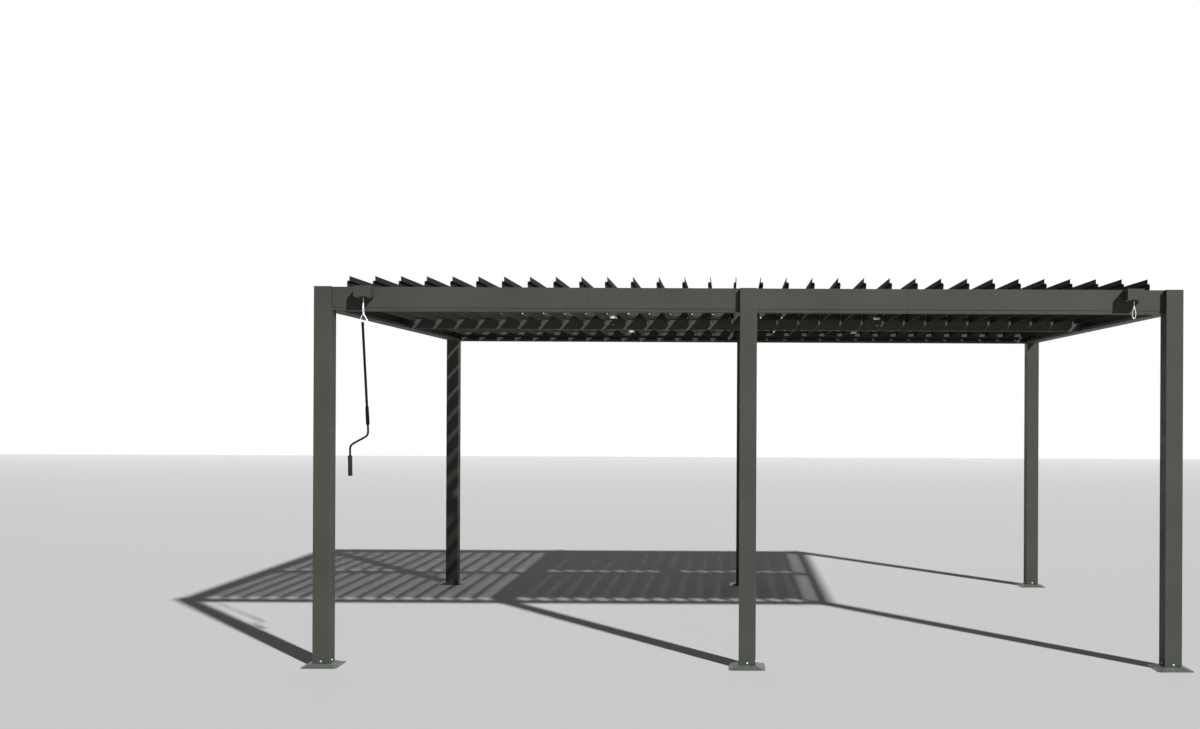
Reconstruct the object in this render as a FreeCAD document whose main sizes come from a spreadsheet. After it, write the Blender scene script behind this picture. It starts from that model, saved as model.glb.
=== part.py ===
# Louvred aluminium pergola, 5.4 m wide, 3.6 m deep and 2.44 m to the louvre tips.
# Millimetres. Origin on the ground at the centre of the plan, +X along the long side,
# +Y from the front to the rear, +Z up. The louvres stand open, as in the photograph.
import FreeCAD, Part
import os
import math
import re
import Sketcher

Vector = FreeCAD.Vector
Rotation = FreeCAD.Rotation
Placement = FreeCAD.Placement

LOUVRES_PER_BAY = 16

# Each driving dimension: its name, its value and what it is.
SIZES = [
    ("width", 5400, "outer faces of the corner posts, along X"),
    ("depth", 3600, "outer faces of the corner posts, along Y"),
    ("height", 2365, "top of posts and beams above the ground"),
    ("post", 105, "side of a square post"),
    ("post_wall", 2.5, "wall of a post"),
    ("cap_height", 3, "thickness of a post cap"),
    ("base_side", 225, "side of a pressed base plate"),
    ("base_height", 20, "height of the base plate where the post stands"),
    ("base_rim", 6, "height of the base plate's outer rim"),
    ("base_plateau", 170, "side of the base plate's raised middle"),
    ("base_corner", 15, "corner cut of a base plate"),
    ("rim_slope", 3.6, "slope along the base plate's rim"),
    ("plateau_slope", 11.2, "slope round the base plate's raised middle"),
    ("spigot_height", 60, "height of the spigot inside the post"),
    ("spigot_play", 0.3, "play between spigot and post wall"),
    ("beam_depth", 147, "height of a beam"),
    ("beam_thick", 30, "thickness of a perimeter beam"),
    ("beam_recess", 36, "beam's outer face behind the post's outer face"),
    ("beam_wall", 2, "wall of every beam"),
    ("drip_height", 18, "height of the drip edge at the foot of a beam"),
    ("drip_step", 3, "set-back of the drip edge"),
    ("centre_thick", 40, "thickness of the centre beam between the louvre rows"),
    ("cross_thick", 30, "thickness of the cross beam between the bays"),
    ("cross_depth", 120, "height of the cross beam"),
    ("ledge_width", 65, "width of the gutter ledge inside the beams"),
    ("ledge_thick", 3, "thickness of the gutter ledge"),
    ("ledge_lip", 20, "height of the gutter ledge's lip"),
    ("pivot_drop", 30, "louvre axes below the top of the beams"),
    ("tail_gap", 6, "cross beam to the innermost blade when closed"),
    ("tip_gap", 7.5, "side beam to the outermost blade when closed"),
    ("blade_overlap", 5.5, "overlap of two closed blades in plan"),
    ("blade_down", 63, "louvre axis to the blade's lower edge"),
    ("blade_thick", 2, "thickness of a blade's sheet"),
    ("blade_offset", 7, "web and flange on either side of the axis"),
    ("blade_flange", 29, "height of the blade's upper flange"),
    ("blade_lip", 5.5, "gutter lip at the blade's lower edge"),
    ("blade_nib", 3, "drip nib at the blade's upper edge"),
    ("end_plate", 3, "thickness of the plate on a blade's front end"),
    ("end_gap", 5, "end of a louvre row to the plate on a blade's front end"),
    ("plate_reach", 31.5, "end plate and lever bracket beyond the louvre axis"),
    ("lever_edge", 4, "lever bracket beyond the blade's web and flange"),
    ("bracket_thick", 4, "thickness of the lever bracket on a blade's rear end"),
    ("bar_gap", 6, "gap on each side of a push bar"),
    ("bar_thick", 4, "thickness of a push bar"),
    ("bar_depth", 20, "height of a push bar"),
    ("bar_end", 15, "push bar beyond its last link pin"),
    ("lever_side", 33, "louvre axis to link pin, sideways"),
    ("lever_drop", 25, "louvre axis to link pin, downwards"),
    ("lever_eye", 9, "half width of the lever round its link pin"),
    ("pivot_radius", 4, "radius of a louvre pivot pin"),
    ("link_radius", 3, "radius of a link pin"),
    ("seat_gap", 0.3, "running gap at the end of a pin"),
    ("gear_inset", 205, "corner post to the middle of the gearbox"),
    ("gear_width", 105, "gearbox, along X"),
    ("gear_reach", 85, "gearbox, out from the beam"),
    ("gear_depth", 68, "gearbox, height"),
    ("gear_edge", 1.5, "chamfer on the gearbox"),
    ("shaft_reach", 45, "gearbox shaft out from the beam"),
    ("boss_radius", 13, "radius of the boss under the gearbox"),
    ("boss_height", 6, "height of the boss under the gearbox"),
    ("shaft_radius", 4.5, "radius of the gearbox shaft"),
    ("shaft_length", 50, "gearbox boss to the collar of the eye"),
    ("collar_radius", 8, "radius of the eye's collar"),
    ("collar_height", 14, "height of the eye's collar"),
    ("ring_width", 26, "outer width of the eye"),
    ("ring_height", 68, "outer height of the eye"),
    ("ring_wire", 6, "thickness of the eye"),
    ("ring_sink", 2, "eye let into its collar"),
    ("shaft_sink", 1, "shaft let into the collar"),
    ("hook_wire", 3, "radius of the hook's wire"),
    ("hook_bend", 7, "radius of the hook's bend"),
    ("hook_rise", 2.1, "eye's inner foot above the centre of the hook's bend"),
    ("hook_leg", 50, "length of the hook's legs"),
    ("ferrule_radius", 12, "radius of the ferrule below the hook"),
    ("ferrule_height", 30, "height of the ferrule below the hook"),
    ("hook_sink", 5, "hook's legs inside the ferrule"),
    ("rod_sink", 10, "rod inside the ferrule"),
    ("rod_radius", 6.5, "radius of the crank's rod"),
    ("rod_drop", 665, "hook's bend to the foot of the rod"),
    ("rod_lean", 32, "foot of the rod beside the gearbox shaft"),
    ("sleeve_radius", 11, "radius of the sleeve at the foot of the rod"),
    ("sleeve_length", 118, "length of the sleeve"),
    ("bent_radius", 4.8, "radius of the bent rod"),
    ("bend_radius", 26, "centre line of the bends in the bent rod"),
    ("bent_sink", 10, "bent rod inside the sleeve"),
    ("elbow_drop", 725, "hook's bend to the upper elbow"),
    ("elbow_side", 33, "upper elbow beside the gearbox shaft"),
    ("offset_drop", 789, "hook's bend to the lower elbow"),
    ("offset_side", 78, "lower elbow and grip beside the gearbox shaft"),
    ("grip_drop", 851, "hook's bend to the top of the grip"),
    ("grip_length", 127, "length of the grip"),
    ("grip_lean", 2, "foot of the grip out of line with its top"),
    ("grip_radius", 13.5, "radius of the grip"),
]
VALUE = {name: value for name, value, meaning in SIZES}

doc = FreeCAD.newDocument("pergola")
sheet = doc.addObject("Spreadsheet::Sheet", "sizes")
for line, (name, value, meaning) in enumerate(SIZES, 1):
    sheet.set("A%d" % line, name)
    sheet.set("B%d" % line, str(value))
    sheet.set("C%d" % line, meaning)
    sheet.setAlias("B%d" % line, name)
doc.recompute()

ALIAS = re.compile(r"\b(" + "|".join(VALUE) + r")\b")


def bind(piece, prop, formula):
    """Bind a property to a formula of the named sizes."""
    piece.setExpression(prop, ALIAS.sub(r"sizes.\1", str(formula)))


def place(piece, spot):
    """Bind a piece's position to three formulas."""
    for axis, formula in zip("xyz", spot):
        bind(piece, "Placement.Base." + axis, formula)
    return piece


def box(name, size, spot):
    piece = doc.addObject("Part::Box", name)
    for prop, formula in zip(("Length", "Width", "Height"), size):
        bind(piece, prop, formula)
    return place(piece, spot)


def cylinder(name, radius, length, spot, turn=Rotation()):
    piece = doc.addObject("Part::Cylinder", name)
    piece.Placement = Placement(Vector(), turn)
    bind(piece, "Radius", radius)
    bind(piece, "Height", length)
    return place(piece, spot)


def pin(name, radius, length, spot):
    """A six-sided pin along +Y."""
    piece = doc.addObject("Part::Prism", name)
    piece.Polygon = 6
    piece.Placement = Placement(Vector(), Rotation(Vector(1, 0, 0), -90))
    bind(piece, "Circumradius", radius)
    bind(piece, "Height", length)
    return place(piece, spot)


def cut(name, base, tool):
    piece = doc.addObject("Part::Cut", name)
    piece.Base = base
    piece.Tool = tool
    return piece


def fuse(name, pieces):
    piece = doc.addObject("Part::MultiFuse", name)
    piece.Shapes = pieces
    return piece


def outline(name, corners, turn):
    """A closed outline whose corners are bound to formulas of the named sizes."""
    sketch = doc.addObject("Sketcher::SketchObject", name)
    sketch.Placement = Placement(Vector(), turn)
    count = len(corners)
    start = [Rotation(Vector(0, 0, 1), 360.0 * k / count).multVec(Vector(50, 0, 0)) for k in range(count)]
    for k in range(count):
        sketch.addGeometry(Part.LineSegment(start[k], start[(k + 1) % count]))
    for k in range(count):
        sketch.addConstraint(Sketcher.Constraint("Coincident", k, 2, (k + 1) % count, 1))
    for k, corner in enumerate(corners):
        for kind, formula in zip(("DistanceX", "DistanceY"), corner):
            number = sketch.addConstraint(Sketcher.Constraint(kind, -1, 1, k, 1, 10.0 + k))
            bind(sketch, "Constraints[%d]" % number, formula)
    return sketch


def extrude(name, sketch, direction, length, spot):
    piece = doc.addObject("Part::Extrusion", name)
    piece.Base = sketch
    piece.DirMode = "Custom"
    piece.Dir = direction
    piece.Solid = True
    bind(piece, "LengthFwd", length)
    return place(piece, spot)


def node(label, pieces, spot=(0, 0, 0)):
    """A named sub-part made of one or more separate pieces."""
    part = doc.addObject("Part::Compound", label)
    part.Label = label
    part.Links = pieces
    place(part, spot)
    nodes.append(part)
    return part


nodes = []
ACROSS = Rotation(Vector(1, 0, 0), 90)
ALONG = Rotation(Vector(1, 1, 1), 120)
SIDES = (("left", -1), ("right", 1))
ENDS = (("front", -1), ("rear", 1))

POST_X = "(width - post) / 2"
POST_Y = "(depth - post) / 2"
BEAM_FOOT = "(height - beam_depth)"
BEAM_X = "(width / 2 - beam_recess - beam_thick)"
BEAM_Y = "(depth / 2 - beam_recess - beam_thick)"
INNER_POST = "(width / 2 - post)"
POST_PAST_BEAM = "(post - beam_recess - beam_thick)"

# The louvres run between the posts' inner faces, clear of them when they turn. Their pitch
# and blades come from the bay, so that the closed blades fill it with the named gaps.
ROW_END = "(depth / 2 - post)"
ROW = "(%s - centre_thick / 2)" % ROW_END
PIVOT_Z = "(height - pivot_drop)"
LOUVRE_FIRST = "(cross_thick / 2 + tail_gap + blade_down)"
LOUVRE_PITCH = "((%s - cross_thick / 2 - tail_gap - blade_overlap - tip_gap) / %d)" % (BEAM_X, LOUVRES_PER_BAY)
BLADE_UP = "(%s + blade_overlap - blade_down)" % LOUVRE_PITCH
GEAR_X = "(width / 2 - post - gear_inset)"


# Posts, caps and base plates
def post_places():
    return [(side, x, end, y) for side, x in (("left", -1), ("middle", 0), ("right", 1)) for end, y in ENDS]


def post_tube(name, x, y):
    spot = ("%d * %s - post / 2" % (x, POST_X), "%d * %s - post / 2" % (y, POST_Y), "base_height")
    length = "height - cap_height - base_height"
    outer = box(name + "_outer", ("post", "post", length), spot)
    bore = "post - 2 * post_wall"
    inner_spot = (spot[0] + " + post_wall", spot[1] + " + post_wall", spot[2])
    inner = box(name + "_bore", (bore, bore, length), inner_spot)
    return cut(name, outer, inner)


def edges_along(shape, direction):
    """Numbers of the straight edges along a direction."""
    found = []
    for number, edge in enumerate(shape.Edges, 1):
        along = edge.Vertexes[-1].Point - edge.Vertexes[0].Point
        if along.Length < 1e-6 or along.cross(direction).Length > 1e-6 * along.Length:
            continue
        found.append(number)
    return found


def cut_plate(name, side, height, corner, slope):
    """A square plate, centred, with its corners cut off and a sloping upper edge."""
    plate = box(name + "_block", (side, side, height), ("-(%s) / 2" % side, "-(%s) / 2" % side, "0"))
    doc.recompute()
    corners = doc.addObject("Part::Chamfer", name + "_corners")
    corners.Base = plate
    corners.Edges = [(n, corner, corner) for n in edges_along(plate.Shape, Vector(0, 0, 1))]
    doc.recompute()
    top = corners.Shape.BoundBox.ZMax
    rim = [n for n, e in enumerate(corners.Shape.Edges, 1) if e.BoundBox.ZMin > top - 1e-6]
    sloped = doc.addObject("Part::Chamfer", name)
    sloped.Base = corners
    sloped.Edges = [(n, slope, slope) for n in rim]
    return sloped


def base_plate(name, x, y):
    corner = VALUE["base_corner"]
    rim = cut_plate(name + "_rim", "base_side", "base_rim", corner, VALUE["rim_slope"])
    middle = cut_plate(name + "_middle", "base_plateau", "base_height", corner, VALUE["plateau_slope"])
    inside = "post - 2 * post_wall - 2 * spigot_play"
    half = "-(%s) / 2" % inside
    spigot = box(name + "_spigot", (inside, inside, "base_height + spigot_height"), (half, half, "0"))
    plate = fuse(name, [rim, middle, spigot])
    return place(plate, ("%d * %s" % (x, POST_X), "%d * %s" % (y, POST_Y), "0"))


for end, y in ENDS:
    tubes = []
    for side, x, its_end, its_y in post_places():
        if its_end == end:
            tubes.append(post_tube("%s_%s_post" % (end, side), x, its_y))
    node(end + "_posts", tubes)

caps = []
plates = []
for side, x, end, y in post_places():
    name = "%s_%s" % (end, side)
    spot = ("%d * %s - post / 2" % (x, POST_X), "%d * %s - post / 2" % (y, POST_Y), "height - cap_height")
    caps.append(box(name + "_cap", ("post", "post", "cap_height"), spot))
    plates.append(base_plate(name + "_base", x, y))
node("post_caps", caps)
node("base_plates", plates)


# Beams: hollow, with a set-back drip edge along the foot of the outer face
def beam(name, corners, turn, direction, length, spot, bore_size, bore_spot):
    section = outline(name + "_section", corners, turn)
    body = extrude(name + "_body", section, direction, length, spot)
    bore = box(name + "_bore", bore_size, bore_spot)
    return cut(name, body, bore)


def long_beam(name, side, y):
    """A front or rear beam between a corner post and the middle post."""
    out = "%d * " % y
    outer = "(%s + beam_thick)" % BEAM_Y
    corners = [
        (out + BEAM_Y, BEAM_FOOT),
        (out + "(%s - drip_step)" % outer, BEAM_FOOT),
        (out + "(%s - drip_step)" % outer, BEAM_FOOT + " + drip_height"),
        (out + outer, BEAM_FOOT + " + drip_height"),
        (out + outer, "height"),
        (out + BEAM_Y, "height"),
    ]
    length = "width / 2 - 1.5 * post"
    start = "post / 2" if side > 0 else "-" + INNER_POST
    bore_side = "beam_thick - drip_step - 2 * beam_wall"
    low = "beam_wall" if y > 0 else "-beam_wall - (%s)" % bore_side
    bore_y = "%s %s + %s" % (out, BEAM_Y, low)
    bore_size = (length, bore_side, "beam_depth - 2 * beam_wall")
    bore_spot = (start, bore_y, BEAM_FOOT + " + beam_wall")
    return beam(name, corners, ALONG, Vector(1, 0, 0), length, (start, 0, 0), bore_size, bore_spot)


def side_beam(name, x):
    """A side beam between the front and rear corner posts."""
    out = "%d * " % x
    outer = "(%s + beam_thick)" % BEAM_X
    corners = [
        (out + BEAM_X, BEAM_FOOT),
        (out + "(%s - drip_step)" % outer, BEAM_FOOT),
        (out + "(%s - drip_step)" % outer, BEAM_FOOT + " + drip_height"),
        (out + outer, BEAM_FOOT + " + drip_height"),
        (out + outer, "height"),
        (out + BEAM_X, "height"),
    ]
    length = "depth - 2 * post"
    start = "-(depth / 2 - post)"
    bore_side = "beam_thick - drip_step - 2 * beam_wall"
    low = "beam_wall" if x > 0 else "-beam_wall - (%s)" % bore_side
    bore_x = "%s %s + %s" % (out, BEAM_X, low)
    bore_size = (bore_side, length, "beam_depth - 2 * beam_wall")
    bore_spot = (bore_x, start, BEAM_FOOT + " + beam_wall")
    return beam(name, corners, ACROSS, Vector(0, 1, 0), length, (0, start, 0), bore_size, bore_spot)


def box_beam(name, size, spot, bore_size, bore_spot):
    outer = box(name + "_outer", size, spot)
    return cut(name, outer, box(name + "_bore", bore_size, bore_spot))


for end, y in ENDS:
    node(end + "_beam", [long_beam("%s_%s_beam" % (end, side), x, y) for side, x in SIDES])
node("side_beams", [side_beam(side + "_beam", x) for side, x in SIDES])

centre_halves = []
for side, x in SIDES:
    length = BEAM_X + " - cross_thick / 2"
    start = "cross_thick / 2" if x > 0 else "-" + BEAM_X
    bore = ("centre_thick - 2 * beam_wall", "beam_depth - 2 * beam_wall")
    centre_halves.append(box_beam(
        side + "_centre", (length, "centre_thick", "beam_depth"), (start, "-centre_thick / 2", BEAM_FOOT),
        (length, bore[0], bore[1]), (start, "-centre_thick / 2 + beam_wall", BEAM_FOOT + " + beam_wall")))
node("centre_beam", centre_halves)

cross_length = "depth - 2 * post"
cross_start = "-(depth / 2 - post)"
cross_foot = "height - cross_depth"
node("cross_beam", [box_beam(
    "cross", ("cross_thick", cross_length, "cross_depth"), ("-cross_thick / 2", cross_start, cross_foot),
    ("cross_thick - 2 * beam_wall", cross_length, "cross_depth - 2 * beam_wall"),
    ("-cross_thick / 2 + beam_wall", cross_start, cross_foot + " + beam_wall"))])


# Gutter ledges: an angle inside each beam, with its lip turned up
def ledge_corners(sign, face):
    out = "%d * " % sign
    tip = "(%s - ledge_width)" % face
    return [
        (out + face, BEAM_FOOT),
        (out + face, BEAM_FOOT + " + ledge_thick"),
        (out + "(%s + ledge_thick)" % tip, BEAM_FOOT + " + ledge_thick"),
        (out + "(%s + ledge_thick)" % tip, BEAM_FOOT + " + ledge_lip"),
        (out + tip, BEAM_FOOT + " + ledge_lip"),
        (out + tip, BEAM_FOOT),
    ]


long_ledges = []
side_ledges = []
for end, y in ENDS:
    section = outline(end + "_ledge_section", ledge_corners(y, BEAM_Y), ALONG)
    for side, x in SIDES:
        start = "post / 2" if x > 0 else "-" + INNER_POST
        name = "%s_%s_ledge" % (end, side)
        long_ledges.append(extrude(name, section, Vector(1, 0, 0), "width / 2 - 1.5 * post", (start, 0, 0)))
for side, x in SIDES:
    section = outline(side + "_ledge_section", ledge_corners(x, BEAM_X), ACROSS)
    for end, y in ENDS:
        length = BEAM_Y + " - centre_thick / 2 - ledge_width"
        start = "centre_thick / 2" if y > 0 else "-(%s - ledge_width)" % BEAM_Y
        name = "%s_%s_side_ledge" % (side, end)
        side_ledges.append(extrude(name, section, Vector(0, 1, 0), length, (0, start, 0)))
node("long_ledges", long_ledges)
node("side_ledges", side_ledges)


# Louvres: a folded blade, a plate and pin at its front end, a lever bracket at its rear end
def blade_corners():
    """The blade as it stands open in the left bay: X from its axis, Z from its axis."""
    web = "-blade_offset - blade_thick / 2"
    face = "-blade_offset + blade_thick / 2"
    flange = "blade_offset - blade_thick / 2"
    back = "blade_offset + blade_thick / 2"
    step = BLADE_UP + " - blade_flange"
    return [
        (web, "-blade_down"),
        (web + " + blade_lip + blade_thick", "-blade_down"),
        (web + " + blade_lip + blade_thick", "-blade_down + blade_thick"),
        (face, "-blade_down + blade_thick"),
        (face, step + " - blade_thick"),
        (back, step + " - blade_thick"),
        (back, BLADE_UP),
        (flange + " - blade_nib", BLADE_UP),
        (flange + " - blade_nib", BLADE_UP + " - blade_thick"),
        (flange, BLADE_UP + " - blade_thick"),
        (flange, step),
        (web, step),
    ]


def lever_corners():
    """The lever bracket as it stands open in the left bay, round the axis and the link pin."""
    return [
        ("-blade_offset - lever_edge", "plate_reach"),
        ("blade_offset", "plate_reach"),
        ("blade_offset + lever_edge", "0"),
        ("blade_offset", "-lever_eye"),
        ("-lever_side + lever_eye / 2", "-lever_drop - lever_eye"),
        ("-lever_side - lever_eye / 2", "-lever_drop - lever_eye"),
        ("-lever_side - lever_eye", "-lever_drop"),
        ("-lever_side - lever_eye / 2", "-lever_drop + lever_eye"),
        ("-blade_offset - lever_edge", "-blade_offset + lever_edge"),
    ]


def louvre_row(name, start, front_beam, rear_beam):
    """One blade of the left bay with its end fittings, about its axis, along one row.
    The beams that carry its pins lie past the ends of the row by the last two formulas."""
    plate_y = start + " + end_gap"
    blade_y = plate_y + " + end_plate"
    lever_y = start + " + %s - 2 * bar_gap - bar_thick - bracket_thick" % ROW
    lever_back = lever_y + " + bracket_thick"
    blade_length = ROW + " - end_gap - end_plate - 2 * bar_gap - bar_thick - bracket_thick"
    half = "blade_offset + blade_thick / 2"
    front_pin = (0, start + " - %s + seat_gap" % front_beam, 0)
    pieces = [
        extrude(name + "_blade", blade_section, Vector(0, 1, 0), blade_length, (0, blade_y, 0)),
        box(name + "_plate", ("2 * (%s)" % half, "end_plate", "2 * plate_reach"),
            ("-(%s)" % half, plate_y, "-plate_reach")),
        pin(name + "_front_pin", "pivot_radius", "end_gap + %s - seat_gap" % front_beam, front_pin),
        extrude(name + "_lever", lever_section, Vector(0, 1, 0), "bracket_thick", (0, lever_y, 0)),
        pin(name + "_rear_pin", "pivot_radius", "2 * bar_gap + bar_thick + %s - seat_gap" % rear_beam,
            (0, lever_back, 0)),
        pin(name + "_link_pin", "link_radius", "bar_gap - seat_gap", ("-lever_side", lever_back, "-lever_drop")),
    ]
    return fuse(name, pieces)


blade_section = outline("blade_section", blade_corners(), ACROSS)
lever_section = outline("lever_section", lever_corners(), ACROSS)
ROWS = (("front", "-" + ROW_END, POST_PAST_BEAM, "0"), ("rear", "centre_thick / 2", "0", POST_PAST_BEAM))
left_rows = [louvre_row(end + "_louvre", start, front, rear) for end, start, front, rear in ROWS]
right_rows = []
for row in left_rows:
    mirrored = doc.addObject("Part::Mirroring", row.Name + "_mirrored")
    mirrored.Source = row
    mirrored.Normal = Vector(1, 0, 0)
    right_rows.append(mirrored)

for side, x, rows in (("left", -1, left_rows), ("right", 1, right_rows)):
    for k in range(LOUVRES_PER_BAY):
        axis_x = "%d * (%s + %d * %s)" % (x, LOUVRE_FIRST, k, LOUVRE_PITCH)
        node("%s_louvre_%02d" % (side, k + 1), rows, (axis_x, 0, PIVOT_Z))


# Push bars: one behind each row of a bay, on the link pins of its levers
for side, x in SIDES:
    bars = []
    span = "%d * %s" % (LOUVRES_PER_BAY - 1, LOUVRE_PITCH)
    last = "(%s + %s)" % (LOUVRE_FIRST, span)
    length = span + " + 2 * bar_end"
    inner = LOUVRE_FIRST + " + lever_side - bar_end"
    start = inner if x > 0 else "-(%s + lever_side + bar_end)" % last
    for end, row_start, front, rear in ROWS:
        bar_y = row_start + " + %s - bar_gap - bar_thick" % ROW
        spot = (start, bar_y, PIVOT_Z + " - lever_drop - bar_depth / 2")
        bars.append(box("%s_%s_bar" % (side, end), (length, "bar_thick", "bar_depth"), spot))
    node(side + "_push_bars", bars)


# Gearboxes on the front beam, and the eyes on their shafts
SHAFT_Y = "-(%s + beam_thick + shaft_reach)" % BEAM_Y
GEAR_FOOT = "(height - gear_depth)"
COLLAR_TOP = "(%s - boss_height - shaft_length)" % GEAR_FOOT
RING_TOP = "(%s - collar_height + ring_sink)" % COLLAR_TOP
RING_FOOT = "(%s - ring_height)" % RING_TOP


def gearbox(name, x):
    face = "-(%s + beam_thick)" % BEAM_Y
    spot = ("%d * %s - gear_width / 2" % (x, GEAR_X), face + " - gear_reach", GEAR_FOOT)
    block = box(name + "_block", ("gear_width", "gear_reach", "gear_depth"), spot)
    doc.recompute()
    housing = doc.addObject("Part::Chamfer", name + "_housing")
    housing.Base = block
    edge = VALUE["gear_edge"]
    housing.Edges = [(n, edge, edge) for n in edges_along(block.Shape, Vector(0, 0, 1))]
    boss_spot = ("%d * %s" % (x, GEAR_X), SHAFT_Y, GEAR_FOOT + " - boss_height")
    return fuse(name, [housing, cylinder(name + "_boss", "boss_radius", "boss_height", boss_spot)])


def link_shape(name, width, height, x, foot):
    """A long plate link with round ends, standing along Z."""
    middle = (width, "ring_wire", "(%s) - (%s)" % (height, width))
    low = "%s + (%s) / 2" % (foot, width)
    pieces = [box(name + "_middle", middle, (x + " - (%s) / 2" % width, SHAFT_Y + " - ring_wire / 2", low))]
    for end, level in (("foot", low), ("head", "%s + %s - (%s) / 2" % (foot, height, width))):
        spot = (x, SHAFT_Y + " + ring_wire / 2", level)
        pieces.append(cylinder(name + "_" + end, "(%s) / 2" % width, "ring_wire", spot, ACROSS))
    return fuse(name, pieces)


def eye(name, x):
    where = "%d * %s" % (x, GEAR_X)
    outer = link_shape(name + "_outer", "ring_width", "ring_height", where, RING_FOOT)
    hole = ("ring_width - 2 * ring_wire", "ring_height - 2 * ring_wire")
    inner = link_shape(name + "_inner", hole[0], hole[1], where, RING_FOOT + " + ring_wire")
    ring = cut(name + "_ring", outer, inner)
    collar_spot = (where, SHAFT_Y, COLLAR_TOP + " - collar_height")
    collar = cylinder(name + "_collar", "collar_radius", "collar_height", collar_spot)
    shaft = cylinder(name + "_shaft", "shaft_radius", "shaft_length + shaft_sink - seat_gap",
                     (where, SHAFT_Y, COLLAR_TOP + " - shaft_sink"))
    return fuse(name, [ring, collar, shaft])


for side, x in SIDES:
    node(side + "_gearbox", [gearbox(side + "_gear", x)])
for side, x in SIDES:
    node(side + "_eye", [eye(side + "_link", x)])


# Crank: a wire hook over the eye's foot, a ferrule, a straight rod with a sleeve, an offset and a grip
def swept(edges, radius):
    """A bar swept along joined edges, eight-sided and within the stated radius."""
    path = Part.Wire(edges)
    first = path.OrderedEdges[0]
    spot = first.valueAt(first.FirstParameter)
    heading = first.tangentAt(first.FirstParameter)
    turn = Rotation(Vector(0, 0, 1), heading)
    corners = [spot + turn.multVec(Vector(radius * math.cos(k * math.pi / 4), radius * math.sin(k * math.pi / 4), 0))
               for k in range(8)]
    return path.makePipe(Part.Face(Part.makePolygon(corners + corners[:1])))


def bent_bar(spots, radius, bend):
    """A bar along straight runs with an arc at each inner point."""
    edges = []
    here = spots[0]
    for before, corner, after in zip(spots, spots[1:], spots[2:]):
        inward = (before - corner).normalize()
        onward = (after - corner).normalize()
        half = inward.getAngle(onward) / 2
        reach = bend / abs(math.tan(half))
        first = corner + inward * reach
        last = corner + onward * reach
        centre = corner + (inward + onward).normalize() * (bend / abs(math.sin(half)))
        middle = centre + (corner - centre).normalize() * bend
        edges.append(Part.LineSegment(here, first).toShape())
        edges.append(Part.Arc(first, middle, last).toShape())
        here = last
    edges.append(Part.LineSegment(here, spots[-1]).toShape())
    return swept(edges, radius)


def crank_spot(side, drop):
    """A point of the crank: beside the left gearbox shaft, and below the hook's bend."""
    at = VALUE
    collar_foot = at["height"] - at["gear_depth"] - at["boss_height"] - at["shaft_length"] - at["collar_height"]
    bend = collar_foot + at["ring_sink"] - at["ring_height"] + at["ring_wire"] - at["hook_rise"]
    shaft_x = -(at["width"] / 2 - at["post"] - at["gear_inset"])
    shaft_y = -(at["depth"] / 2 - at["beam_recess"] + at["shaft_reach"])
    return Vector(shaft_x + side, shaft_y, bend - drop)


def hook_wire():
    """A wire bent over the foot of the eye, with both legs going down into the ferrule."""
    centre = crank_spot(0, 0)
    side = Vector(0, VALUE["hook_bend"], 0)
    drop = Vector(0, 0, -VALUE["hook_leg"])
    top = centre + Vector(0, 0, VALUE["hook_bend"])
    piece = doc.addObject("Part::Feature", "hook_wire")
    piece.Shape = swept([
        Part.LineSegment(centre - side + drop, centre - side).toShape(),
        Part.Arc(centre - side, top, centre + side).toShape(),
        Part.LineSegment(centre + side, centre + side + drop).toShape(),
    ], VALUE["hook_wire"])
    return piece


def ferrule():
    foot = "%s + ring_wire - hook_rise - hook_leg - ferrule_height + hook_sink" % RING_FOOT
    return cylinder("ferrule", "ferrule_radius", "ferrule_height", ("-" + GEAR_X, SHAFT_Y, foot))


def crank_rod():
    """The rod hangs a little out of plumb, because its grip is offset."""
    at = VALUE
    top = crank_spot(0, at["hook_leg"] + at["ferrule_height"] - at["hook_sink"] - at["rod_sink"])
    foot = crank_spot(at["rod_lean"], at["rod_drop"])
    down = (foot - top).normalize()
    rod = Part.makeCylinder(at["rod_radius"], (foot - top).Length - at["sleeve_length"] / 2, top, down)
    sleeve = Part.makeCylinder(at["sleeve_radius"], at["sleeve_length"], foot - down * at["sleeve_length"], down)
    grip_top = crank_spot(-at["offset_side"], at["grip_drop"])
    grip_foot = crank_spot(at["grip_lean"] - at["offset_side"], at["grip_drop"] + at["grip_length"])
    route = [
        foot - down * at["bent_sink"],
        crank_spot(at["elbow_side"], at["elbow_drop"]),
        crank_spot(-at["offset_side"], at["offset_drop"]),
        grip_top,
    ]
    bent = bent_bar(route, at["bent_radius"], at["bend_radius"])
    grip = Part.makeCylinder(at["grip_radius"], (grip_foot - grip_top).Length, grip_top, grip_foot - grip_top)
    piece = doc.addObject("Part::Feature", "crank_rod")
    piece.Shape = rod.multiFuse([sleeve, bent, grip])
    return piece


node("crank", [fuse("crank_whole", [hook_wire(), ferrule(), crank_rod()])])


# Check every object, then write each sub-part
doc.recompute()
for piece in doc.Objects:
    if {"Invalid", "Error"} & set(piece.State):
        raise RuntimeError("%s failed: %s" % (piece.Name, piece.State))

os.makedirs("parts", exist_ok=True)
total = 0.0
for part in nodes:
    shape = part.Shape
    if shape.isNull() or not shape.isValid():
        raise RuntimeError(part.Label + " has no valid shape")
    if len(shape.Solids) < 1:
        raise RuntimeError(part.Label + " has no solid")
    total += shape.Volume
    shape.exportStep(os.path.join("parts", part.Label + ".step"))
print("nodes", len(nodes), "volume in litres", round(total / 1e6, 2))
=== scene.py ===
# Louvred aluminium pergola: coats, pressed base plates, screws, seams, splice plates, louvre clips and ribs,
# eyes and the hand crank
import math

import bmesh
import bpy
from mathutils import Matrix, Vector


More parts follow.
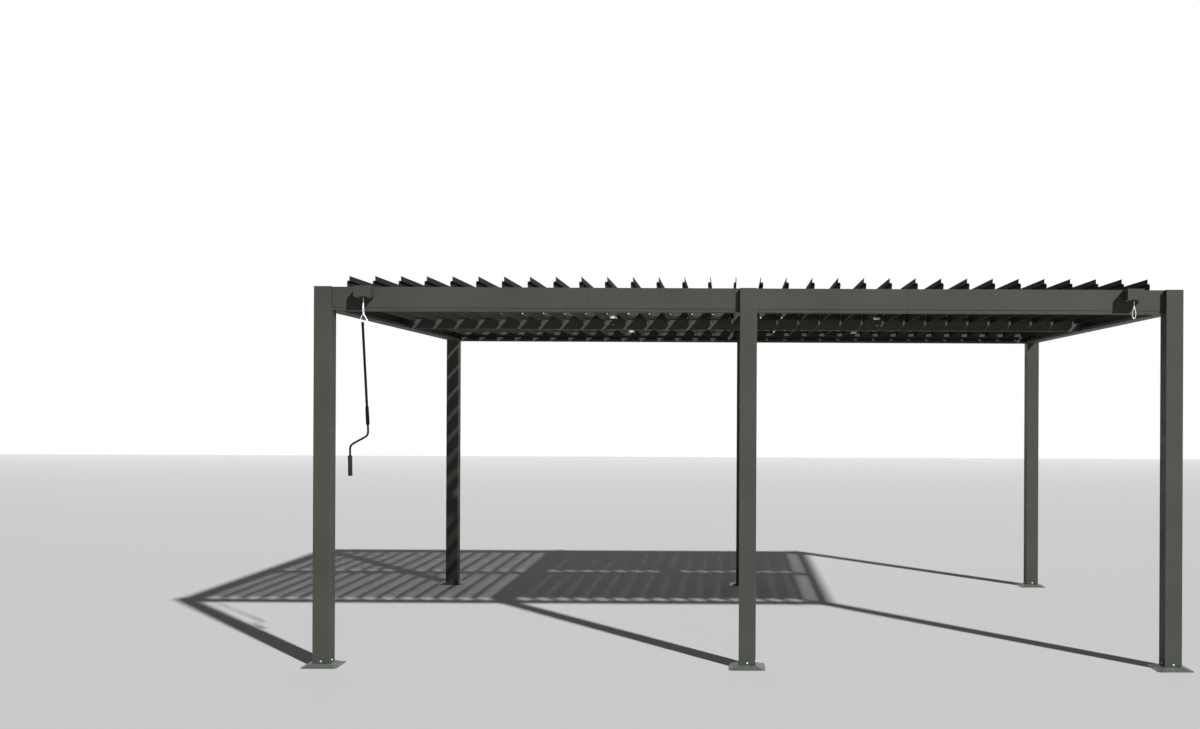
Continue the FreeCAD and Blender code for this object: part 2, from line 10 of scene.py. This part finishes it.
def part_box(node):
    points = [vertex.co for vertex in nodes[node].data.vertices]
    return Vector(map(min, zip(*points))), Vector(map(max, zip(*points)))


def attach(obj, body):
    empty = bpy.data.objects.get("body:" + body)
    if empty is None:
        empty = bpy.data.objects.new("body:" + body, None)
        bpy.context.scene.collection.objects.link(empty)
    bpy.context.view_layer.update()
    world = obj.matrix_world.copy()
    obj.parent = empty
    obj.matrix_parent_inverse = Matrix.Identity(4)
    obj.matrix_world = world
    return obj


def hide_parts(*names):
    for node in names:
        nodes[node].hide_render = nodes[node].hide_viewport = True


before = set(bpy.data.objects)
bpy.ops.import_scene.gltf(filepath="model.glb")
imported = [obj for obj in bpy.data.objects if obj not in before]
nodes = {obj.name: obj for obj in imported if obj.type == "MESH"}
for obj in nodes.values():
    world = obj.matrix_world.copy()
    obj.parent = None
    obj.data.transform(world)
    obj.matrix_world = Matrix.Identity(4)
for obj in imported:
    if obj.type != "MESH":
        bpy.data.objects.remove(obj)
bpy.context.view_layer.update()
scene = bpy.context.scene

MM = 0.001
SHARP_ANGLE = math.radians(35)
SIDES = (("left", -1), ("right", 1))

# Posts and beams
POST = 105 * MM
post_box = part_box("front_posts")
POST_X = post_box[1][0] - POST / 2
POST_Y = -post_box[0][1] - POST / 2
POST_FOOT = post_box[0][2]
POST_INNER_Y = POST_Y - POST / 2
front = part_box("front_beam")
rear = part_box("rear_beam")
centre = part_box("centre_beam")
side_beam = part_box("side_beams")
BEAM_FOOT = front[0][2]
SIDE_BEAM_THICK = 30 * MM

# Louvre axes, and the link pins of the levers beside and below them
LOUVRES_PER_BAY = 16
FIRST = 84 * MM
PITCH = 162.5 * MM
PIVOT_Z = 2.335
LEVER_SIDE = 33 * MM
LEVER_DROP = 25 * MM
LEVER_THICK = 4 * MM
BAR_THICK = 4 * MM


# Materials
def new_material(name):
    material = bpy.data.materials.new(name)
    material.use_nodes = True
    return material, material.node_tree, material.node_tree.nodes["Principled BSDF"]


def add(tree, kind, **values):
    """A shader node; each value goes to the input of its name, or else to the node's own setting."""
    node = tree.nodes.new(kind)
    for key, value in values.items():
        if key in node.inputs:
            node.inputs[key].default_value = value
        else:
            setattr(node, key, value)
    return node


def noise(tree, scale, detail=3.0):
    where = add(tree, "ShaderNodeTexCoord")
    texture = add(tree, "ShaderNodeTexNoise", Scale=scale, Detail=detail)
    tree.links.new(where.outputs["Object"], texture.inputs["Vector"])
    return texture.outputs["Fac"]


def span(tree, source, low, high, start=0.3, end=0.7):
    """The source's stretch from start to end, spread from low to high."""
    mapped = add(tree, "ShaderNodeMapRange")
    for socket, value in zip(("From Min", "From Max", "To Min", "To Max"), (start, end, low, high)):
        mapped.inputs[socket].default_value = value
    tree.links.new(source, mapped.inputs["Value"])
    return mapped.outputs["Result"]


def mix(tree, factor, first, second):
    """A mix of two colours, each given as numbers or as another node's output."""
    blend = add(tree, "ShaderNodeMix", data_type="RGBA")
    tree.links.new(factor, blend.inputs["Factor"])
    for number, colour in ((6, first), (7, second)):
        if isinstance(colour, tuple):
            blend.inputs[number].default_value = (*colour, 1.0)
        else:
            tree.links.new(colour, blend.inputs[number])
    return blend.outputs[2]


def powder_coat(name, colour, rough, edge_highlight=1.55, edge_highlight_radius=1.2 * MM, shine=0.30):
    """Satin powder coat: fine orange peel, a soft cloudiness, and edges painted paler as a highlight."""
    material, tree, shader = new_material(name)
    pale = tuple(c * 1.12 for c in colour)
    deep = tuple(c * 0.88 for c in colour)
    # Paler colour: a few random specks of wear, and the painted highlight along the edges
    wear_and_edge_highlight = tuple(min(1.0, c * edge_highlight) for c in colour)
    cloud = mix(tree, span(tree, noise(tree, 2.3), 0.0, 1.0), deep, pale)
    speck = mix(tree, span(tree, noise(tree, 420.0, 1.0), 0.0, 0.35, 0.45, 0.75), cloud, wear_and_edge_highlight)
    bevel = add(tree, "ShaderNodeBevel", Radius=edge_highlight_radius, samples=4)
    flat = add(tree, "ShaderNodeNewGeometry")
    dot = add(tree, "ShaderNodeVectorMath", operation="DOT_PRODUCT")
    tree.links.new(bevel.outputs["Normal"], dot.inputs[0])
    tree.links.new(flat.outputs["Normal"], dot.inputs[1])
    # Painted highlight: at the edges, where the bevelled normal turns from the flat one, the colour goes paler
    edges = span(tree, dot.outputs["Value"], 1.0, 0.0, 0.80, 0.985)
    tree.links.new(mix(tree, edges, speck, wear_and_edge_highlight), shader.inputs["Base Color"])
    tree.links.new(span(tree, noise(tree, 9.0), rough - 0.05, rough + 0.07), shader.inputs["Roughness"])
    bump = add(tree, "ShaderNodeBump", Strength=0.10, Distance=0.0004)
    tree.links.new(noise(tree, 900.0, 1.5), bump.inputs["Height"])
    tree.links.new(bevel.outputs["Normal"], bump.inputs["Normal"])
    tree.links.new(bump.outputs["Normal"], shader.inputs["Normal"])
    shader.inputs["Specular IOR Level"].default_value = shine
    return material


def zinc(name):
    """Bright zinc plate with small cloudy patches and a fine grain."""
    material, tree, shader = new_material(name)
    cloudy = span(tree, noise(tree, 160.0), 0.0, 1.0)
    tree.links.new(mix(tree, cloudy, (0.74, 0.76, 0.78), (0.93, 0.94, 0.95)), shader.inputs["Base Color"])
    tree.links.new(span(tree, noise(tree, 300.0), 0.32, 0.52), shader.inputs["Roughness"])
    shader.inputs["Metallic"].default_value = 0.75
    bump = add(tree, "ShaderNodeBump", Strength=0.15, Distance=0.0003)
    tree.links.new(noise(tree, 700.0), bump.inputs["Height"])
    tree.links.new(bump.outputs["Normal"], shader.inputs["Normal"])
    return material


def ribbed_rubber(name):
    """Black rubber with rings round the handle."""
    material, tree, shader = new_material(name)
    cloudy = span(tree, noise(tree, 60.0), 0.0, 1.0)
    tree.links.new(mix(tree, cloudy, (0.012, 0.012, 0.012), (0.026, 0.026, 0.026)), shader.inputs["Base Color"])
    shader.inputs["Roughness"].default_value = 0.8
    shader.inputs["Specular IOR Level"].default_value = 0.05
    where = add(tree, "ShaderNodeTexCoord")
    rings = add(tree, "ShaderNodeTexWave", Scale=120.0, bands_direction="Z")
    tree.links.new(where.outputs["Object"], rings.inputs["Vector"])
    bump = add(tree, "ShaderNodeBump", Strength=0.4, Distance=0.0008)
    tree.links.new(rings.outputs["Fac"], bump.inputs["Height"])
    tree.links.new(bump.outputs["Normal"], shader.inputs["Normal"])
    return material


# The edge numbers below set how much paler the painted highlight along each coat's edges is
FRAME_COAT = powder_coat("frame_coat_finish", (0.036, 0.040, 0.032), rough=0.55,
                         edge_highlight=2.8, edge_highlight_radius=1.6 * MM, shine=0.18)
# The louvres' coat is the frame's colour darkened to about a third: painted shade
LOUVRE_SHADED_COAT = powder_coat("louvre_coat_with_painted_shade", (0.013, 0.015, 0.0115), rough=0.66,
                          edge_highlight=6.0, edge_highlight_radius=0.9 * MM, shine=0.06)
BASE_COAT = powder_coat("base_coat_finish", (0.070, 0.078, 0.071), rough=0.38)
BLACK = powder_coat("black_fitting_finish", (0.012, 0.012, 0.012), rough=0.42,
                    edge_highlight=1.8, edge_highlight_radius=0.5 * MM)
CRANK_COAT = powder_coat("crank_coat_finish", (0.006, 0.006, 0.006), rough=0.6,
                         edge_highlight_radius=0.4 * MM, shine=0.0)
# Black for the dark seams between beam sections, and painted shade for the openings of the drain slots
SEAM_AND_SLOT_SHADE = powder_coat("dark_seam_and_slot_shade", (0.006, 0.006, 0.006), rough=0.7)
ZINC = zinc("zinc_finish")
GRIP = ribbed_rubber("grip_finish")


def finish_of(name):
    if "_louvre_" in name:
        return LOUVRE_SHADED_COAT
    if name.endswith("push_bars"):
        return BLACK
    if name.endswith("_eye"):
        return ZINC
    return FRAME_COAT


for name in nodes:
    nodes[name].data.materials.clear()
    nodes[name].data.materials.append(finish_of(name))


# Mesh helpers
def piece_from(bm, name, body, material, smooth=True):
    """A finished piece that rides on a body."""
    bmesh.ops.recalc_face_normals(bm, faces=bm.faces)
    mesh = bpy.data.meshes.new(name)
    bm.to_mesh(mesh)
    bm.free()
    piece = bpy.data.objects.new(name, mesh)
    scene.collection.objects.link(piece)
    mesh.materials.append(material)
    if smooth:
        mesh.shade_smooth()
        mesh.set_sharp_from_angle(angle=SHARP_ANGLE)
    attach(piece, body)
    return piece


def skin(bm, loops):
    """Walls between loops of vertices, with a cap at each end."""
    for lower, upper in zip(loops, loops[1:]):
        for k in range(len(lower)):
            after = (k + 1) % len(lower)
            bm.faces.new((lower[k], lower[after], upper[after], upper[k]))
    bm.faces.new(list(reversed(loops[0])))
    bm.faces.new(loops[-1])


def turned(bm, profile, spot, axis, sides=20):
    """A turned solid: radius and height pairs about an axis, closed at both ends."""
    turn = Vector((0, 0, 1)).rotation_difference(Vector(axis)).to_matrix()
    spot = Vector(spot)
    loops = []
    for radius, height in profile:
        loop = []
        for k in range(sides):
            angle = 2 * math.pi * k / sides
            point = Vector((radius * math.cos(angle), radius * math.sin(angle), height))
            loop.append(bm.verts.new(spot + turn @ point))
        loops.append(loop)
    skin(bm, loops)


def screw(bm, spot, axis, radius):
    """A domed screw head with a six-sided socket."""
    rise = radius * 0.62
    dome = [(radius, 0.0), (radius, rise * 0.35), (radius * 0.86, rise * 0.8), (radius * 0.6, rise)]
    turned(bm, dome, spot, axis, 18)
    top = Vector(spot) + Vector(axis) * rise
    turned(bm, [(radius * 0.52, -rise * 0.1), (radius * 0.5, radius * 0.06)], top, axis, 6)


def block(bm, low, high, round_by=0.0):
    """A box between two corners, with rounded edges if asked."""
    made = bmesh.ops.create_cube(bm, size=1.0)
    size = Vector(high) - Vector(low)
    middle = (Vector(high) + Vector(low)) / 2
    for vert in made["verts"]:
        vert.co = Vector(a * b for a, b in zip(vert.co, size)) + middle
    if round_by:
        edges = list({e for v in made["verts"] for e in v.link_edges})
        bmesh.ops.bevel(bm, geom=edges, offset=round_by, segments=2, affect="EDGES", profile=0.5)


def tube(name, points, radius, material, body, resolution=10, closed=False):
    """A round wire along a smooth curve through the net of points."""
    curve = bpy.data.curves.new(name, "CURVE")
    curve.dimensions = "3D"
    curve.bevel_depth = radius
    curve.bevel_resolution = 6
    curve.use_fill_caps = True
    curve.resolution_u = resolution
    spline = curve.splines.new("NURBS")
    spline.points.add(len(points) - 1)
    for knot, point in zip(spline.points, points):
        knot.co = (*point, 1.0)
    spline.order_u = 3
    spline.use_cyclic_u = closed
    spline.use_endpoint_u = not closed
    drawn = bpy.data.objects.new(name + "_curve", curve)
    scene.collection.objects.link(drawn)
    mesh = bpy.data.meshes.new_from_object(drawn.evaluated_get(bpy.context.evaluated_depsgraph_get()))
    bpy.data.objects.remove(drawn)
    piece = bpy.data.objects.new(name, mesh)
    scene.collection.objects.link(piece)
    mesh.materials.clear()
    mesh.materials.append(material)
    mesh.shade_smooth()
    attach(piece, body)
    return piece


def post_spots():
    return [(x * POST_X, y * POST_Y) for x in (-1, 0, 1) for y in (-1, 1)]


# Base plates: pressed steel, with a rim, a step and a raised seat for the post
BASE_HALF = 112.5 * MM
BASE_CORNER = 24 * MM
CORNER_SHRINK = 0.35
CORNER_LEAST = 6 * MM
BASE_STEPS = [  # inset from the rim and height, in millimetres
    (0, 0.0), (0, 2.0), (0.8, 3.2), (13, 4.4), (17, 5.4), (23, 8.8), (38, 13.6), (44, 15.4),
    (49, 18.9), (52, 19.8), (58, 20.0),
]


def rounded_square(half, corner, per_corner=9):
    points = []
    for quarter in range(4):
        middle = Vector((half - corner, half - corner))
        for k in range(per_corner):
            angle = math.pi / 2 * k / (per_corner - 1)
            spot = middle + corner * Vector((math.cos(angle), math.sin(angle)))
            points.append(Matrix.Rotation(math.pi / 2 * quarter, 2) @ spot)
    return points


bm = bmesh.new()
for x, y in post_spots():
    loops = []
    for inset, height in BASE_STEPS:
        half = BASE_HALF - inset * MM
        corner = max(BASE_CORNER - inset * MM * CORNER_SHRINK, CORNER_LEAST)
        outline = rounded_square(half, corner)
        loops.append([bm.verts.new((x + p[0], y + p[1], height * MM)) for p in outline])
    skin(bm, loops)
pressed = piece_from(bm, "pressed_base_plates", "frame", BASE_COAT)
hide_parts("base_plates")

# At the feet: a bright screw and a drain slot in each face of a post; each slot's opening is a thin black patch
# of painted shade
FOOT_SCREW = 6.2 * MM
FOOT_SCREW_UP = 14 * MM
SLOT_ASIDE = 30 * MM
SLOT_HALF = 8 * MM
SLOT_UP = 7 * MM
PROUD = 0.3 * MM
bm = bmesh.new()
slots = bmesh.new()
for x, y in post_spots():
    for dx, dy in ((1, 0), (-1, 0), (0, 1), (0, -1)):
        face_x = x + dx * POST / 2
        face_y = y + dy * POST / 2
        screw(bm, (face_x, face_y, POST_FOOT + FOOT_SCREW_UP), (dx, dy, 0), FOOT_SCREW)
        slot_x = face_x - dy * SLOT_ASIDE
        slot_y = face_y + dx * SLOT_ASIDE
        half_x = abs(dy) * SLOT_HALF + abs(dx) * PROUD
        half_y = abs(dx) * SLOT_HALF + abs(dy) * PROUD
        block(slots, (slot_x - half_x, slot_y - half_y, POST_FOOT),
              (slot_x + half_x, slot_y + half_y, POST_FOOT + SLOT_UP))
piece_from(bm, "foot_screws", "frame", ZINC)
piece_from(slots, "drain_slots", "frame", SEAM_AND_SLOT_SHADE, smooth=False)

# Beam joints: a fine seam round each long beam, with two screws beside it on the inner faces,
# and two screws at each end of the side beams. On the outer faces the seam starts above the drip edge.
JOINT_X = 1.0
SEAM_HALF = 0.6 * MM
SEAM_START = 1 * MM
ABOVE_DRIP = 18.5 * MM
BEAM_SCREW = 4 * MM
JOINT_SCREW_STEPS = (14 * MM, 46 * MM)
JOINT_SCREW_UP = 38 * MM
SIDE_INNER = side_beam[1][0] - SIDE_BEAM_THICK
SIDE_SCREW_IN = 22 * MM
SIDE_SCREW_LEVELS = (40 * MM, 105 * MM)
SEAM_STARTS = (  # each beam, and where its seam starts on its front and its rear face
    (front, (ABOVE_DRIP, SEAM_START)),
    (rear, (SEAM_START, ABOVE_DRIP)),
    (centre, (SEAM_START, SEAM_START)),
)
INNER_FACES = ((front[1][1], 1), (centre[0][1], -1), (centre[1][1], 1), (rear[0][1], -1))
seams = bmesh.new()
bm = bmesh.new()
for _, x in SIDES:
    for (low, high), starts in SEAM_STARTS:
        for face, out, start in zip((low[1], high[1]), (-1, 1), starts):
            near, far = sorted((face, face + out * PROUD))
            block(seams, (x * JOINT_X - SEAM_HALF, near, low[2] + start),
                  (x * JOINT_X + SEAM_HALF, far, high[2]))
    for face, out in INNER_FACES:
        for step in JOINT_SCREW_STEPS:
            screw(bm, (x * (JOINT_X + step), face, BEAM_FOOT + JOINT_SCREW_UP), (0, out, 0), BEAM_SCREW)
for _, x in SIDES:
    for y in (-1, 1):
        for level in SIDE_SCREW_LEVELS:
            spot = (x * SIDE_INNER, y * (POST_INNER_Y - SIDE_SCREW_IN), BEAM_FOOT + level)
            screw(bm, spot, (-x, 0, 0), BEAM_SCREW)
piece_from(seams, "beam_seams", "frame", SEAM_AND_SLOT_SHADE, smooth=False)
piece_from(bm, "beam_screws", "frame", ZINC)

# Push bars: a bright splice plate with two screws, halfway between the sixth and seventh levers
SPLICE_PLACE = 5.5
SPLICE_LENGTH = 54 * MM
SPLICE_HEIGHT = 18 * MM
SPLICE_THICK = 2 * MM
SPLICE_ROUND = 0.5 * MM
SPLICE_SCREW = 3.6 * MM
SPLICE_SCREW_STEP = 11 * MM
for side, x in SIDES:
    low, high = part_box(side + "_push_bars")
    bar_z = (low[2] + high[2]) / 2
    middle = x * (FIRST + SPLICE_PLACE * PITCH + LEVER_SIDE)
    bm = bmesh.new()
    heads = bmesh.new()
    for face in (low[1], high[1] - BAR_THICK):
        block(bm, (middle - SPLICE_LENGTH / 2, face - SPLICE_THICK, bar_z - SPLICE_HEIGHT / 2),
              (middle + SPLICE_LENGTH / 2, face, bar_z + SPLICE_HEIGHT / 2), SPLICE_ROUND)
        for step in (-SPLICE_SCREW_STEP, SPLICE_SCREW_STEP):
            screw(heads, (middle + step, face - SPLICE_THICK, bar_z), (0, -1, 0), SPLICE_SCREW)
    piece_from(bm, side + "_splice_plates", side + "_push_bars", ZINC)
    piece_from(heads, side + "_splice_screws", side + "_push_bars", ZINC)

# Louvres: screw heads on the levers, black clips over the blade ends, and ribs on both faces of a blade
ROW_FRONTS = (-POST_INNER_Y, centre[1][1])
ROW_REARS = (centre[0][1], POST_INNER_Y)
LEVER_BACK = 16 * MM
LEVER_REACH = LEVER_BACK + LEVER_THICK
LEVER_SCREW = 4.4 * MM
PIVOT_SCREW_ASIDE = 1.5 * MM
CLIP_FACES = (8.2 * MM, 10.6 * MM)
CLIP_DEPTH = 16 * MM
CLIP_DOWN = 14 * MM
CLIP_UP = 8 * MM
CLIP_ROUND = 0.6 * MM
BLADE_FACES = ((6 * MM, -1), (8 * MM, 1))
RIB_LEVELS = (13 * MM, 58 * MM)
RIB_START = 8 * MM
RIB_SECTION = [  # height along the blade's face and rise from it, in millimetres
    (-6, -0.4), (-3.4, 1.6), (-1.4, 2.4), (1.4, 2.4), (3.4, 1.6), (6, -0.4),
]


def rib(bm, face, out, middle, start, end):
    """A rounded ridge along a blade, let a little into its face."""
    skin(bm, [[bm.verts.new((face + out * rise * MM, y, middle + level * MM)) for level, rise in RIB_SECTION]
              for y in (start, end)])


def louvre_fittings(name, axis_x, x):
    """The screws, clips and ribs of one louvre; x points from the centre to its side."""
    screws = bmesh.new()
    clips = bmesh.new()
    ribs = bmesh.new()
    for row_front, row_rear in zip(ROW_FRONTS, ROW_REARS):
        lever_face = row_rear - LEVER_REACH
        link = (axis_x + x * LEVER_SIDE, lever_face, PIVOT_Z - LEVER_DROP)
        screw(screws, link, (0, -1, 0), LEVER_SCREW)
        screw(screws, (axis_x + x * PIVOT_SCREW_ASIDE, lever_face, PIVOT_Z), (0, -1, 0), LEVER_SCREW)
        near, far = sorted(axis_x + x * face for face in CLIP_FACES)
        block(clips, (near, lever_face - CLIP_DEPTH, PIVOT_Z - CLIP_DOWN),
              (far, lever_face, PIVOT_Z + CLIP_UP), CLIP_ROUND)
        for up in RIB_LEVELS:
            for face, out in BLADE_FACES:
                rib(ribs, axis_x + x * face, x * out, PIVOT_Z + up, row_front + RIB_START, lever_face)
    piece_from(screws, name + "_screws", name, ZINC)
    piece_from(clips, name + "_clips", name, BLACK)
    piece_from(ribs, name + "_ribs", name, LOUVRE_SHADED_COAT)


for side, x in SIDES:
    for k in range(LOUVRES_PER_BAY):
        louvre_fittings("%s_louvre_%02d" % (side, k + 1), x * (FIRST + k * PITCH), x)

# Gearboxes: four screws up into the foot of each
SHAFT_Y = -1.809
GEAR_SCREW = 4 * MM
GEAR_SCREW_X = 34 * MM
GEAR_SCREW_Y = 24 * MM
GEAR_BACK = 2 * MM
GEAR_COVER_UP = 6 * MM


def shaft_foot(side):
    """Where a drive's shaft leaves the foot of its gearbox."""
    low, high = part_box(side + "_gearbox")
    return Vector(((low[0] + high[0]) / 2, SHAFT_Y, low[2]))


for side, _ in SIDES:
    bm = bmesh.new()
    for y in (GEAR_SCREW_Y, -GEAR_SCREW_Y):
        for x in (-GEAR_SCREW_X, GEAR_SCREW_X):
            spot = shaft_foot(side) + Vector((x, GEAR_BACK + y, GEAR_COVER_UP))
            screw(bm, spot, (0, 0, -1), GEAR_SCREW)
    piece_from(bm, side + "_gearbox_screws", "frame", ZINC)

# Eyes: a thin shaft, a collar and a closed ring. The left one stands edge on with the crook through it.
RING_TOP_DROP = 0.042
RING_FOOT_DROP = 0.109
RING_HALF = 10.5 * MM
RING_TAPER = 0.12
RING_POINTS = 16
EYE_WIRE = 2.7 * MM
SHAFT_RADIUS = 3 * MM
SHAFT_LENGTH = 42 * MM
SHAFT_DROP = 36 * MM
COLLAR_DROP = 46 * MM
COLLAR = [(3.4 * MM, 0), (5.4 * MM, 2 * MM), (5.4 * MM, 9 * MM), (4 * MM, 11 * MM)]
for side, _ in SIDES:
    shaft = shaft_foot(side)
    across = Vector((0, 1, 0)) if side == "left" else Vector((1, 0, 0))
    middle = (RING_FOOT_DROP + RING_TOP_DROP) / 2
    tall = (RING_FOOT_DROP - RING_TOP_DROP) / 2
    loop = []
    for k in range(RING_POINTS):
        angle = 2 * math.pi * k / RING_POINTS
        wide = RING_HALF * (1 + RING_TAPER * math.sin(angle))
        down = Vector((0, 0, -middle - tall * math.sin(angle)))
        loop.append(shaft + across * wide * math.cos(angle) + down)
    ring = tube(side + "_eye_ring", loop, EYE_WIRE, ZINC, side + "_drive", 4, closed=True)
    bm = bmesh.new()
    turned(bm, [(SHAFT_RADIUS, 0), (SHAFT_RADIUS, SHAFT_LENGTH)], shaft - Vector((0, 0, SHAFT_DROP)), (0, 0, 1))
    turned(bm, COLLAR, shaft - Vector((0, 0, COLLAR_DROP)), (0, 0, 1))
    collar = piece_from(bm, side + "_eye_shaft", side + "_drive", ZINC)
    for part in (ring, collar):
        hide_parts(side + "_eye")

# Crank: a crook of wire over the foot of the left eye, a ferrule, a rod with a sleeve, a bent rod and a grip
HOOK_WIRE = 3 * MM
BENT_WIRE = 6.2 * MM
ROD = 7.6 * MM
ROD_START = 3 * MM
ROD_END = 60 * MM
ROD_TOP_DROP = 35 * MM
SLEEVE_LENGTH = 118 * MM
BENT_START = 8 * MM
CROOK_DROP = 4.6 * MM
ROD_TOP_ASIDE = -4
ROD_FOOT = (32, 1.500)
GRIP_TOP = (-78, 1.314)
GRIP_FOOT = (-76, 1.187)
shaft = shaft_foot("left")
bend_z = shaft[2] - RING_FOOT_DROP - CROOK_DROP


def on_crank(x, z):
    """A spot in the crank's own plane: millimetres beside the shaft, and metres above the floor."""
    return Vector((shaft[0] + x * MM, shaft[1], z))


# The crook rises from the rod, bends over the foot of the eye and flares to its free tip
CROOK = [  # beside the shaft and above the bend, in millimetres
    (-4, -44), (-5, -34), (-15, -29), (-18, -18), (-13, -6), (-10, 2), (-6, 9), (0, 11),
    (6, 9), (10, 2), (15, -8), (22, -22), (29, -34), (34, -37),
]
hook = tube("crank_hook", [on_crank(a, bend_z + b * MM) for a, b in CROOK],
            HOOK_WIRE, ZINC, "left_drive")

rod_top = on_crank(ROD_TOP_ASIDE, bend_z - ROD_TOP_DROP)
rod_foot = on_crank(*ROD_FOOT)
rod_axis = (rod_foot - rod_top).normalized()
rod_length = (rod_foot - rod_top).length
FERRULE = [(4.8 * MM, 0), (7.8 * MM, 2.5 * MM), (8.4 * MM, 5 * MM), (8.4 * MM, 24 * MM), (6.8 * MM, 27 * MM)]
bm = bmesh.new()
turned(bm, FERRULE, rod_top, rod_axis, 24)
ferrule = piece_from(bm, "crank_ferrule", "left_drive", CRANK_COAT)

SLEEVE = [(6.8 * MM, -3 * MM), (9.6 * MM, 0), (10.2 * MM, 5 * MM), (11 * MM, 60 * MM), (11 * MM, 106 * MM),
          (8.4 * MM, 115 * MM), (5 * MM, SLEEVE_LENGTH)]
bm = bmesh.new()
turned(bm, [(ROD, ROD_START), (ROD, rod_length - ROD_END)], rod_top, rod_axis, 24)
turned(bm, SLEEVE, rod_foot - rod_axis * SLEEVE_LENGTH, rod_axis, 28)
rod = piece_from(bm, "crank_rod", "left_drive", CRANK_COAT)

BENT_ROD = [  # beside the shaft in millimetres, and above the floor in metres
    (33, 1.474), (33, 1.452), (26, 1.434), (-22.5, 1.408), (-70, 1.382), (-78, 1.362), (-78, 1.340),
    (-78, 1.310),
]
bent_points = [rod_foot - rod_axis * BENT_START] + [on_crank(x, z) for x, z in BENT_ROD]
bent = tube("crank_offset", bent_points, BENT_WIRE, CRANK_COAT, "left_drive", 16)

grip_top = on_crank(*GRIP_TOP)
grip_foot = on_crank(*GRIP_FOOT)
grip_axis = (grip_foot - grip_top).normalized()
length = (grip_foot - grip_top).length
GRIP_PROFILE = [(9 * MM, 0), (12.4 * MM, 1.5 * MM), (13.5 * MM, 5 * MM), (13 * MM, length * 0.5),
                (13.5 * MM, length - 5 * MM), (12.2 * MM, length - 1 * MM), (8 * MM, length)]
bm = bmesh.new()
turned(bm, GRIP_PROFILE, grip_top, grip_axis, 32)
grip = piece_from(bm, "crank_grip", "left_drive", GRIP)
for part in (hook, ferrule, rod, bent, grip):
    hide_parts("crank")

# Floor and backdrop
FLOOR_HALF = 60.0
floor_mesh = bpy.data.meshes.new("floor")
bm = bmesh.new()
bmesh.ops.create_grid(bm, x_segments=1, y_segments=1, size=FLOOR_HALF)
bm.to_mesh(floor_mesh)
bm.free()
floor = bpy.data.objects.new("floor", floor_mesh)
scene.collection.objects.link(floor)
pale_floor, _, shader = new_material("pale_floor")
shader.inputs["Base Color"].default_value = (0.44, 0.44, 0.44, 1.0)
shader.inputs["Roughness"].default_value = 0.9
floor_mesh.materials.append(pale_floor)

BACKDROP_Y = 30
BACKDROP_TOP = 16
BACKDROP_ENDS = (-29, 22)
left_end, right_end = BACKDROP_ENDS
backdrop_corners = [(left_end, BACKDROP_Y, 0), (right_end, BACKDROP_Y, 0),
                    (right_end, BACKDROP_Y, BACKDROP_TOP), (left_end, BACKDROP_Y, BACKDROP_TOP)]
backdrop_mesh = bpy.data.meshes.new("backdrop")
backdrop_mesh.from_pydata(backdrop_corners, [], [(0, 1, 2, 3)])
backdrop = bpy.data.objects.new("backdrop", backdrop_mesh)
scene.collection.objects.link(backdrop)
lit_backdrop, _, shader = new_material("lit_backdrop")
shader.inputs["Base Color"].default_value = (0.0, 0.0, 0.0, 1.0)
shader.inputs["Specular IOR Level"].default_value = 0.0
shader.inputs["Emission Color"].default_value = (1.0, 1.0, 1.0, 1.0)
shader.inputs["Emission Strength"].default_value = 1.0
backdrop_mesh.materials.append(lit_backdrop)

# Light
world = bpy.data.worlds.new("studio")
scene.world = world
world.use_nodes = True
world.node_tree.nodes["Background"].inputs["Color"].default_value = (1.0, 1.0, 1.0, 1.0)
world.node_tree.nodes["Background"].inputs["Strength"].default_value = 0.07


def lamp(name, kind, energy, spot, aim, size):
    """A lamp at a spot, turned to its aim; the size is an angle for a sun and a width otherwise."""
    light = bpy.data.lights.new(name, kind)
    light.energy = energy
    if kind == "SUN":
        light.angle = size
    else:
        light.size = size
    holder = bpy.data.objects.new(name, light)
    holder.location = spot
    holder.rotation_euler = (Vector(aim) - Vector(spot)).to_track_quat("-Z", "Y").to_euler()
    scene.collection.objects.link(holder)


lamp("sun", "SUN", 6.45, (6.4, -8.0, 7.4), (0, 0, 0), math.radians(1.5))
lamp("front_fill", "AREA", 30, (1.0, -9.5, 3.2), (0, 0, 1.6), 4.0)

# Camera, as fitted to the posts, beams and feet in the photograph
PHOTO_WIDTH = 1200
PHOTO_HEIGHT = 729
FOCAL_PIXELS = 1200.65
CENTRE_PIXEL = (730.6, 407.7)
SENSOR_WIDTH = 36.0
CAMERA_SPOT = (-0.1094, -9.2549, 1.6202)
CAMERA_ROLL = 0.0044
camera_data = bpy.data.cameras.new("camera")
camera_data.sensor_width = SENSOR_WIDTH
camera_data.lens = SENSOR_WIDTH * FOCAL_PIXELS / PHOTO_WIDTH
camera_data.shift_x = (PHOTO_WIDTH / 2 - CENTRE_PIXEL[0]) / PHOTO_WIDTH
camera_data.shift_y = (CENTRE_PIXEL[1] - PHOTO_HEIGHT / 2) / PHOTO_WIDTH
camera = bpy.data.objects.new("camera", camera_data)
scene.collection.objects.link(camera)
camera.location = CAMERA_SPOT
turn = Matrix.Rotation(math.radians(90), 4, "X") @ Matrix.Rotation(CAMERA_ROLL, 4, "Z")
camera.rotation_euler = turn.to_euler()
scene.camera = camera
scene.view_settings.view_transform = "Standard"
